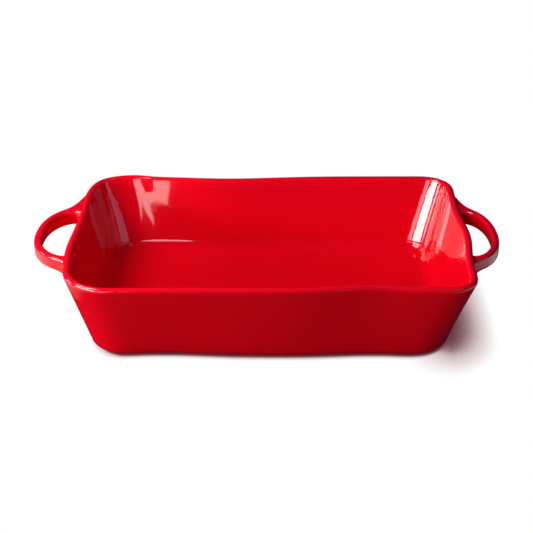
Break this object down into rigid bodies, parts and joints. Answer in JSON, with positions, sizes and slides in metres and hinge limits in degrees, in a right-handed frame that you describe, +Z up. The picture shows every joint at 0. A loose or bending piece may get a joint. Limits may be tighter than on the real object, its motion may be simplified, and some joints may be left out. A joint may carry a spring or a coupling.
{
  "type": "lasagna dish",
  "caption": "Rectangular glazed stoneware lasagna dish with flared, gently waved walls, a rounded lip and a loop strap handle at each end.",
  "frame": {"origin": "middle of the whole part's outline, handles included, on the plane that the foot ring stands on", "axes": "+X to the right along the dish, from the left handle to the right one; +Y from the front to the back; +Z up"},
  "size_m": [0.4134, 0.2486, 0.0747],
  "materials": {
    "red_glaze": "gloss"
  },
  "bodies": {
    "root": {"dish_shell": "red_glaze", "left_handle": "red_glaze", "right_handle": "red_glaze"}
  },
  "joints": []
}
